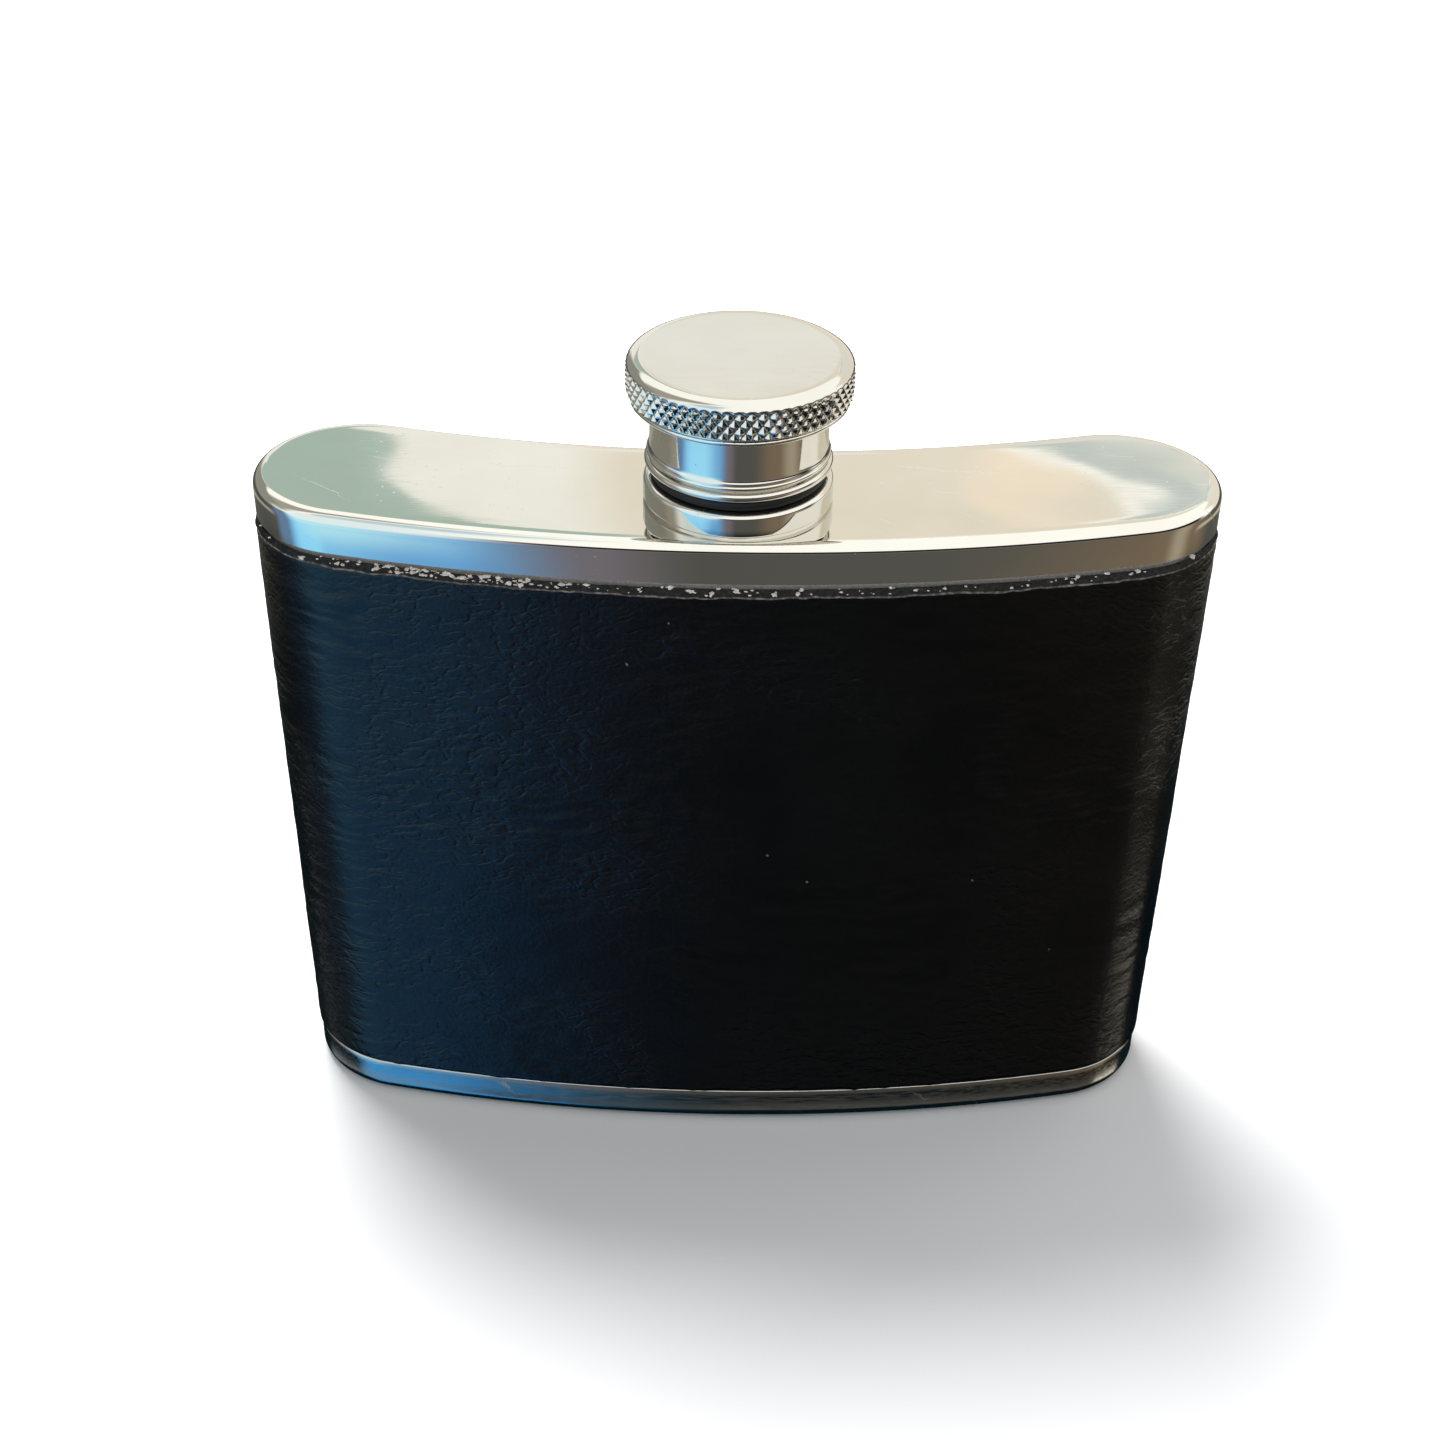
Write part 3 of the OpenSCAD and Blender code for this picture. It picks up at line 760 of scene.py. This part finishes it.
# %% Folds in the skin and the frayed cut
u = np.linspace(0, 1, LOOP + 1)[None, :] + 0 * row_z[:, None]
v = (row_z[:, None] - z0) / (z1 - z0) + 0 * u
away = outer[:, :, :2] - np.stack([sleeve_row(z, -2.0)[:, :2] for z in row_z])
away /= np.linalg.norm(away, axis=-1, keepdims=True)
sway = 0.004 * soft_noise(u, v, 40, 14, 11)
swell = 0.03 * soft_noise(u, v, 26, 9, 3) + 0.02 * soft_noise(u, v, 60, 40, 4)
patches = np.clip(0.15 + 1.8 * soft_noise(u, v, 19, 7, 12), 0, 1)      # where folds gather
for cells_u, cells_v, high, seed in ((90, 105, 0.036, 13), (150, 160, 0.018, 14)):
    swell += high * patches * soft_noise(u + sway, v + 3 * sway, cells_u, cells_v, seed)
for cells_u, cells_v, deep, seed in ((84, 84, 0.014, 15), (130, 130, 0.010, 16)):
    hills = soft_noise(u + sway, v + 3 * sway, cells_u, cells_v, seed)
    broken = np.clip(1.5 * soft_noise(u, v, 90, 60, seed + 20), 0, 1)
    swell -= deep * patches * broken * np.clip(1 - np.abs(hills) / 0.45, 0, 1)
ragged = 0.09 * soft_noise(u, v, 420, 70, 6) + 0.06 * soft_noise(u, v, 150, 60, 9)
share = rough_share[:, None]
swell -= 0.45 * np.exp(-np.minimum(u, 1 - u) * LOOP / 1.1)  # the ends turn in at the butt seam
outer[:, :, :2] += away * (swell * (1 - share) + ragged * share)[:, :, None]
wander = 0.13 * soft_noise(u, v, 70, 2, 8) + 0.07 * soft_noise(u, v, 260, 2, 10)
near_foot = np.exp(-((row_z - (z0 + FOOT_BEVEL)) / 1.2) ** 2)
near_top = np.exp(-((row_z - (z1 - LIP_DROP)) / 0.5) ** 2)
outer[1:-2, :, 2] += (wander * (near_foot - near_top)[:, None])[1:-2]
print("folds of up to", round(float(np.abs(swell[:, 9:-9]).max()), 3), "mm")

# %% The leather sleeve
GRAIN, CUT, LIP = 0, 1, 2       # the faces' materials: grain side, raw cut, lip of the slanted cut
columns = LOOP + 1
skin, lining = outer.reshape(-1, 3), inner.reshape(-1, 3)
n_rows = len(row_z)
faces = grid_faces(n_rows, columns, 0, wrap=False)
row_finish = np.full(n_rows - 1, GRAIN)
row_finish[:len(foot_t) - 2] = CUT
row_finish[cut_start + 1:] = CUT
row_finish[cut_start - 1:cut_start + 1] = LIP
finish = np.repeat(row_finish, columns - 1).tolist()
faces += grid_faces(2, columns, len(skin), wrap=False)
c = np.arange(columns - 1)
low_in, high_in = len(skin), len(skin) + columns
faces += np.stack([c, c + 1, low_in + c + 1, low_in + c], axis=-1).tolist()
top_row = (n_rows - 1) * columns
faces += np.stack([top_row + c, top_row + c + 1, high_in + c + 1, high_in + c], axis=-1).tolist()
for end in (0, columns - 1):
    faces.append([*(np.arange(n_rows) * columns + end).tolist(), high_in + end, low_in + end])
finish += [CUT] * (len(faces) - len(finish))
sleeve = make_piece("leather_wrap", np.concatenate([skin, lining]), faces, "flask",
                    "black_leather", "leather_sleeve", finish=finish)

# %% [markdown]
# ## Dyed black leather
# The grain side is dyed and waxed: nearly black, with a soft gloss (roughness 0.19 to 0.29). Its
# creases run mostly round the body, about three millimetres long, and gather in patches. Under
# them is the pore pattern, cells of about a third of a millimetre, drawn at half a millimetre so
# that it shows. The cut shows paler fibre under the dye, and rubbing has burnished its lip.

# %% Dye and creases
leather, tree, shader, place = new_material("dyed calf leather", IOR=1.47)
patchy = add(tree, "ShaderNodeTexNoise", {"Vector": place, "Scale": 0.06 * PER_M, "Detail": 3.0})
dye = add(tree, "ShaderNodeMix", {"Factor": patchy.outputs["Fac"], "A": linear("#020203"),
                                  "B": linear("#050607")}, data_type="RGBA")
bend = add(tree, "ShaderNodeTexNoise", {"Vector": place, "Scale": 0.3 * PER_M, "Detail": 2.0})
lean = add(tree, "ShaderNodeVectorMath", {0: bend.outputs["Color"], 1: (1.6 * MM,) * 3},
           operation="MULTIPLY")
curly = add(tree, "ShaderNodeVectorMath", {0: place, 1: lean.outputs[0]}, operation="ADD")
crease = add(tree, "ShaderNodeTexNoise", {
    "Vector": scaled(tree, curly.outputs[0], 0.42, 0.42, 1.0), "Scale": 0.8 * PER_M, "Detail": 2.0,
    "Roughness": 0.5})
crossing = add(tree, "ShaderNodeMath", {0: crease.outputs["Fac"], 1: 0.5}, operation="SUBTRACT")
fold = add(tree, "ShaderNodeMath", {0: crossing.outputs[0]}, operation="ABSOLUTE")
valley = add(tree, "ShaderNodeMapRange", {"Value": fold.outputs[0], "From Max": 0.07})
gathered = add(tree, "ShaderNodeMapRange", {
    "Value": patchy.outputs["Fac"], "From Min": 0.44, "From Max": 0.6, "To Min": 0.08,
    "To Max": 1.0})
folds = add(tree, "ShaderNodeMath", {0: valley.outputs[0], 1: gathered.outputs[0]},
            operation="MULTIPLY")

# %% Pores, gloss and wear
pores = add(tree, "ShaderNodeTexVoronoi", {"Vector": curly.outputs[0], "Scale": 2.2 * PER_M},
            feature="SMOOTH_F1")
fold_bump = add(tree, "ShaderNodeBump", {"Height": folds.outputs[0], "Strength": 1.0,
                                         "Distance": 0.03 * MM})
pore_bump = add(tree, "ShaderNodeBump", {"Height": pores.outputs["Distance"], "Strength": 0.5,
                                         "Distance": 0.03 * MM,
                                         "Normal": fold_bump.outputs["Normal"]})
shine = add(tree, "ShaderNodeMapRange", {
    "Value": patchy.outputs["Fac"], "From Min": 0.3, "From Max": 0.7, "To Min": 0.19,
    "To Max": 0.29})
# pale scuffs a few millimetres long and single grains of dust
scuff = straight_marks(tree, place, patchy, (((0.2, 0.3, 1.0), 9.0, 0.67, 0.72),))
dust = add(tree, "ShaderNodeTexVoronoi", {"Vector": curly.outputs[0], "Scale": 0.16 * PER_M})
grain = add(tree, "ShaderNodeMapRange", {"Value": dust.outputs["Distance"], "From Min": 0.012,
                                         "From Max": 0.03, "To Min": 1.0, "To Max": 0.0})
pale = add(tree, "ShaderNodeMath", {0: scuff.outputs[0], 1: grain.outputs[0]},
           operation="MAXIMUM")
half = add(tree, "ShaderNodeMath", {0: pale.outputs[0], 1: 0.4}, operation="MULTIPLY")
worn_dye = add(tree, "ShaderNodeMix", {"Factor": half.outputs[0], "A": dye.outputs["Result"],
                                       "B": linear("#8E9494")}, data_type="RGBA")
feed(tree, shader, Base_Color=worn_dye.outputs["Result"], Roughness=shine.outputs[0],
     Normal=pore_bump.outputs["Normal"])

# %% The cut edge and its burnished lip
def fibrous(name, dark, light, roughness, fuzz_depth):
    """Leather cut across: dark dye with paler bundles of fibre half a millimetre long."""
    material, tree, shader, place = new_material(name, Roughness=roughness, IOR=1.35)
    fibre = add(tree, "ShaderNodeTexNoise", {
        "Vector": scaled(tree, place, 1.0, 1.0, 1.6), "Scale": 2.0 * PER_M, "Detail": 3.0})
    fray = add(tree, "ShaderNodeMapRange", {"Value": fibre.outputs["Fac"], "From Min": 0.45,
                                            "From Max": 0.75})
    tint = add(tree, "ShaderNodeMix", {"Factor": fray.outputs[0], "A": linear(dark),
                                       "B": linear(light)}, data_type="RGBA")
    fuzz = add(tree, "ShaderNodeBump", {"Height": fibre.outputs["Fac"], "Strength": 1.0,
                                        "Distance": fuzz_depth * MM})
    feed(tree, shader, Base_Color=tint.outputs["Result"], Normal=fuzz.outputs["Normal"])
    return material


raw_edge = fibrous("raw cut edge of leather", "#050505", "#2A2827", 0.6, 0.15)
burnished = fibrous("burnished lip of leather", "#3C3A39", "#8F8A84", 0.3, 0.05)
wear(sleeve, leather, raw_edge, burnished)

# %% [markdown]
# ## Glue
# Contact adhesive squeezes out along the raw edge and dries in small pale beads and crumbs, most
# of them a tenth to half a millimetre across. Each is a small ball, stretched and roughened at
# random and set on the slanted cut, which is less work than a particle system and stays put.

# %% Dried glue
# dried contact adhesive is cream to yellow grey, with the gloss of candle wax
dried_glue = mottled("dried contact adhesive", 3, 2.0, "#A8A298", "#F0EDE6", Roughness=0.35)
wear(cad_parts["leather_adhesive"], dried_glue)

# %% Beads of glue
LUMPS, LEFT_SHARE, FRONT_SHARE = 230, 0.55, 0.30    # the rest lies anywhere round the flask
ball = bmesh.new()
bmesh.ops.create_icosphere(ball, subdivisions=2, radius=1.0)
ball_points = np.array([vert.co for vert in ball.verts])
ball_faces = [[vert.index for vert in face.verts] for face in ball.faces]
ball.free()
beads = []
front_start = BACK + END
cut_rows = outer[cut_start:cut_start + len(cut_t)]
for _ in range(LUMPS):
    pick = rng.random()
    if pick < LEFT_SHARE:       # most of the squeezed-out glue is left of the middle
        at = int(rng.normal(front_start + 0.34 * BACK, 0.17 * BACK))
    elif pick < LEFT_SHARE + FRONT_SHARE:
        at = front_start + int(rng.integers(0, 2 * BACK))
    else:
        at = int(rng.integers(0, LOOP))
    at = at % LOOP
    size = 0.05 + 0.19 * rng.random() ** 2
    squash = rng.uniform((0.8, 0.6, 0.5), (2.2, 1.3, 1.1))
    row = int(rng.integers(3, len(cut_t)))
    step = cut_rows[row, at + 1] - cut_rows[row, at]
    centre = cut_rows[row, at] + step * rng.random()
    lump = ball_points * size * squash * (1 + 0.25 * rng.standard_normal((len(ball_points), 1)))
    beads.append((centre + lump, ball_faces))
glue = make_piece("glue_beads", *joined(*beads), "flask", "adhesive")
wear(glue, dried_glue)

# %% [markdown]
# ## The body under the leather
# The two halves of the body are pressed sheet, seam-welded at the narrow ends. They are hidden
# except inside the neck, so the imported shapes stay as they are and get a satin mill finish. Its
# fine grain is drawn as stretched noise in the roughness, so that light smears along it.

# %% The body sheet
mill_steel, tree, shader, place = new_material("satin stainless steel sheet", Metallic=1.0,
                                               Base_Color=linear("#C4C2BE"))
rolled_grain = add(tree, "ShaderNodeTexNoise", {
    "Vector": scaled(tree, place, 4.0, 4.0, 0.2), "Scale": PER_M, "Detail": 2.0})
dull = add(tree, "ShaderNodeMapRange", {"Value": rolled_grain.outputs["Fac"], "To Min": 0.25,
                                        "To Max": 0.5})
feed(tree, shader, Roughness=dull.outputs[0])
for node in ("front_wall", "back_wall"):
    wear(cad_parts[node], mill_steel)

# %% [markdown]
# ## Floor, light and camera
# The flask stands on a plain white floor. A soft lamp behind and to the left throws the shadow
# forward and to the right, and a weak one at the right opens it. A mirror-like metal looks like
# what is round it, so the surroundings matter as much as the lamps: a pale wall behind, a dark
# table below, and a cool window in front and to the left. Cards of light would need their own
# meshes, so the surroundings are painted into the world by direction, for the metal to reflect.

# %% The floor
FLOOR = 9               # m, half its width
floor_mesh = bpy.data.meshes.new("floor")
floor_mesh.from_pydata([(-FLOOR, -FLOOR, 0), (FLOOR, -FLOOR, 0), (FLOOR, FLOOR, 0),
                        (-FLOOR, FLOOR, 0)], [], [(0, 1, 2, 3)])
floor = bpy.data.objects.new("floor", floor_mesh)
bpy.context.scene.collection.objects.link(floor)
floor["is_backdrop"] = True
# paper is matt, so it shows no highlight at all
paper = new_material("white seamless paper", Base_Color=linear("#F6F6F6"), Roughness=0.9,
                     Specular_IOR_Level=0.0)[0]
wear(floor, paper)
floor.visible_glossy = False
floor.location.z = cad_low.z

# %% Directions
world = bpy.data.worlds.new("studio")
bpy.context.scene.world = world
world.use_nodes = True
tree = world.node_tree
tree.nodes.clear()
way = add(tree, "ShaderNodeTexCoord").outputs["Generated"]
axes = add(tree, "ShaderNodeSeparateXYZ", {"Vector": way}).outputs
back_y = add(tree, "ShaderNodeMath", {0: axes["Y"], 1: -1.0}, operation="MULTIPLY").outputs[0]


def in_degrees(node):
    return add(tree, "ShaderNodeMath", {0: node.outputs[0], 1: math.degrees(1)},
               operation="MULTIPLY").outputs[0]


# bearing is 0 straight in front of the flask, behind is 0 straight behind it, and both are 90 at
# its right; height is 0 level with it and 90 straight up. All are in degrees
bearing = in_degrees(add(tree, "ShaderNodeMath", {0: axes["X"], 1: back_y}, operation="ARCTAN2"))
behind = in_degrees(add(tree, "ShaderNodeMath", {0: axes["X"], 1: axes["Y"]}, operation="ARCTAN2"))
height = in_degrees(add(tree, "ShaderNodeMath", {0: axes["Z"]}, operation="ARCSINE"))


# %% Masks
def edge(value, at, soft):
    """0 below an angle and 1 above it, over a soft edge. A negative soft turns it round."""
    return add(tree, "ShaderNodeMapRange", {"Value": value, "From Min": at - soft,
                                            "From Max": at + soft},
               interpolation_type="SMOOTHSTEP").outputs[0]


def both(a, b):
    return add(tree, "ShaderNodeMath", {0: a, 1: b}, operation="MULTIPLY").outputs[0]


def span(value, low, high, soft):
    return both(edge(value, low, soft), edge(value, high, -soft))


def outside(mask):
    return edge(mask, 0.5, -0.5)


def slanted(across, up, angle):
    """The degrees above a line that leans by an angle, through a point behind the flask."""
    a = math.radians(angle)
    part = add(tree, "ShaderNodeMath", {0: behind, 1: -math.sin(a),
                                        2: math.sin(a) * across - math.cos(a) * up},
               operation="MULTIPLY_ADD")
    return add(tree, "ShaderNodeMath", {0: height, 1: math.cos(a), 2: part.outputs[0]},
               operation="MULTIPLY_ADD").outputs[0]


def oval(centre, radii, soft):
    """1 inside an oval behind the flask, falling to 0 over a soft edge, a share of its radii."""
    u = add(tree, "ShaderNodeMath", {0: behind, 1: 1 / radii[0], 2: -centre[0] / radii[0]},
            operation="MULTIPLY_ADD").outputs[0]
    v = add(tree, "ShaderNodeMath", {0: height, 1: 1 / radii[1], 2: -centre[1] / radii[1]},
            operation="MULTIPLY_ADD").outputs[0]
    square = add(tree, "ShaderNodeMath", {0: v, 1: v}, operation="MULTIPLY").outputs[0]
    total = add(tree, "ShaderNodeMath", {0: u, 1: u, 2: square}, operation="MULTIPLY_ADD")
    return edge(total.outputs[0], 1.0, -soft)


ALL = 1.0               # a mask that hides nothing


def painted(room, *cards):
    """Lays cards over the surroundings: each has a colour, a strength and two masks to meet."""
    for colour, strength, across, up in cards:
        room = add(tree, "ShaderNodeMix", {
            "Factor": both(across, up), "A": room, "B": linear(colour, strength)},
            data_type="RGBA").outputs["Result"]
    return room


# %% The table
NEAR, FAR = -31.0, 3.0      # the heights at which the near and the far part of the table end
near = span(height, -60, NEAR, 3.0)
far = span(height, NEAR, FAR, 2.0)
room = painted(
    linear("#0C1E24"),      # below the near part, the dark shadow under the flask
    ("#1E1A12", 1.0, near, span(bearing, 30, 110, 12)),
    ("#1C5A74", 1.0, near, span(bearing, -24, -6, 6)),
    ("#36A4FA", 1.35, near, span(bearing, -62, -20, 9)),    # the window's light on the table
    ("#5B5B57", 1.0, far, ALL),
    ("#7A767E", 1.0, far, span(bearing, -22, -7, 5)),
    ("#83735F", 1.0, far, span(bearing, 30, 110, 14)))

# %% The low surroundings, from the table up to the window
table_edge = span(height, -28.3, -21, 0.6)
room = painted(
    room,
    # the lit edge of the table behind the flask, warmer at the right
    ("#A8A595", 1.0, table_edge, span(behind, -80, 0, 7)),
    ("#C6BDA9", 1.0, table_edge, span(behind, 0, 84, 7)),
    ("#AFA48F", 1.0, far, span(bearing, 60, 80, 9)),
    # the window low at the left, brighter towards its middle
    ("#6F8DB2", 1.0, far, span(bearing, -94, -60, 6)),
    ("#6FB0EA", 1.1, far, span(bearing, -74, -19, 7)),
    ("#8BD6FF", 1.3, far, span(bearing, -70, -36, 9)),
    ("#B8EEFF", 1.25, span(height, -23, 40, 6), span(bearing, -68, -27, 10)))

# %% What only the foot's band reflects
foot_view = span(height, -47, -36.5, 0.8)
foot_ends = span(height, -43, -38.4, 0.5)
room = painted(
    room,
    ("#8A9298", 1.0, foot_ends, span(bearing, -130, -70, 6)),
    ("#7FB9E4", 1.0, foot_view, span(bearing, -70, -26, 6)),
    ("#5A636E", 1.0, foot_view, span(bearing, -26, -4, 6)),
    ("#62615F", 1.0, foot_view, span(bearing, -4, 80, 6)),
    ("#FFF6E6", 1.3, foot_ends, span(bearing, 74, 112, 5)))

# %% The dark and the bright half of the room
# in front it is dark up to 17 degrees, which draws a line under the rim
dark_front = both(span(bearing, -20, 95, 12), span(height, FAR, 17, 3))
bright = edge(height, FAR + 1, 4)
room = painted(
    room,
    ("#FFFFFB", 1.3, bright, outside(both(dark_front, bright))),
    ("#2A2625", 1.0, dark_front, ALL),
    ("#B2AFA5", 1.0, span(bearing, -128, -78, 9), span(height, 10, 78, 8)),
    # the upper and the lower part of the window
    ("#D2EAF8", 1.0, span(bearing, -64, -26, 8), span(height, 42, 74, 8)),
    ("#E8F8FF", 1.2, span(bearing, -72, -24, 9), span(height, -5, 40, 5)))

# %% The wall behind, which the lid and the cap's flat reflect
wall = both(span(behind, -86, 86, 9), span(height, -2, 33, 1.6))
grey_side = both(edge(behind, -86, 9), edge(behind, -20, -6))
cream = oval((0.0, 25.4), (7.2, 4.4), 0.03)
end_view = span(height, 22.5, 33, 0.6)      # the part that the lid's ends reflect
left_end = both(span(behind, -20, -1.5, 1.0), both(end_view, outside(cream)))
right_end = both(span(behind, 5.6, 30, 0.4), end_view)
leaf = slanted(7.0, 27.0, 24)
room = painted(
    room,
    ("#9C9D95", 1.0, wall, grey_side),
    ("#FBF4E4", 1.0, wall, span(behind, -20, 60, 5)),
    ("#FFFFF8", 1.07, wall, span(behind, -20, -2.3, 0.8)),
    ("#B8CEC4", 1.0, left_end, ALL),
    ("#FFF1DC", 1.1, oval((6.4, 27.2), (1.3, 1.0), 0.6), ALL),
    # a slanted grey green strip between two bright ones
    ("#FFFFFA", 1.25, right_end, edge(leaf, 0.35, -0.15)),
    ("#D2DEDC", 1.0, right_end, edge(leaf, -0.02, -0.08)),
    ("#F6F8F0", 1.0, right_end, edge(leaf, -0.75, -0.25)),
    ("#FFFFFA", 1.04, oval((0.0, 25.1), (3.2, 1.4), 0.15), ALL))
print("surroundings:", len(tree.nodes), "nodes")

# %% What the metal sees and what lights the rest
# only glossy rays see the painted room; an even, slightly cool light falls on everything else
look = add(tree, "ShaderNodeBackground", {"Color": room, "Strength": 1.0})
fill_light = add(tree, "ShaderNodeBackground", {"Color": linear("#F4F5F7"), "Strength": 0.65})
ray = add(tree, "ShaderNodeLightPath")
shown = add(tree, "ShaderNodeMixShader", {0: ray.outputs["Is Glossy Ray"],
                                          1: fill_light.outputs[0], 2: look.outputs[0]})
add(tree, "ShaderNodeOutputWorld", {"Surface": shown.outputs[0]})

# %% The lamps
from mathutils import Matrix, Vector

middle = (cad_low + cad_high) / 2


def lamp(name, away, size, watts):
    """A white disc lamp at a place seen from the flask's middle, aimed at the middle."""
    data = bpy.data.lights.new(name, "AREA")
    data.shape, data.size, data.energy, data.color = "DISK", size, watts, linear("#FFFFFF")[:3]
    light = bpy.data.objects.new(name, data)
    light.location = middle + Vector(away)
    light.rotation_euler = (middle - light.location).to_track_quat("-Z", "Y").to_euler()
    light.visible_glossy = False
    bpy.context.scene.collection.objects.link(light)
    print(name, "lamp:", watts, "W")


lamp("key", (-0.175, 0.39, 0.64), 0.48, 9.2)
lamp("side", (0.48, 0.22, 0.42), 0.70, 0.50)

# %% The camera
camera_data = bpy.data.cameras.new("camera")
camera = bpy.data.objects.new("camera", camera_data)
bpy.context.scene.collection.objects.link(camera)
bpy.context.scene.camera = camera
DISTANCE, ELEVATION, YAW, ROLL = 0.33795, 32.16, 0.48, 1.05     # m and degrees
aim = Vector((0, AXIS_Y * MM, 43.2 * MM))
e, a = math.radians(ELEVATION), math.radians(YAW)
offset = Vector((-math.sin(a) * math.cos(e), -math.cos(a) * math.cos(e), math.sin(e)))
camera.location = aim + offset * DISTANCE
turn_to = (-offset).to_track_quat("-Z", "Y").to_matrix()
camera.rotation_euler = (turn_to @ Matrix.Rotation(math.radians(ROLL), 3, "Z")).to_euler()
camera_data.lens, camera_data.sensor_width = 80.75, 36.0
camera_data.shift_x, camera_data.shift_y = -0.0095, 0.0087
camera_data.clip_start, camera_data.clip_end = 0.01, 50.0
bpy.context.scene.view_settings.view_transform = "Standard"
print("camera", DISTANCE, "m away,", ELEVATION, "degrees up")

# %% [markdown]
# ## The size of the pieces
# The visible pieces are to fill the same box as the imported model; their box is printed here, in
# millimetres.

# %% Finish
low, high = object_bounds()
print("visual box in mm:", [round(v / MM, 1) for v in (*low, *high)])
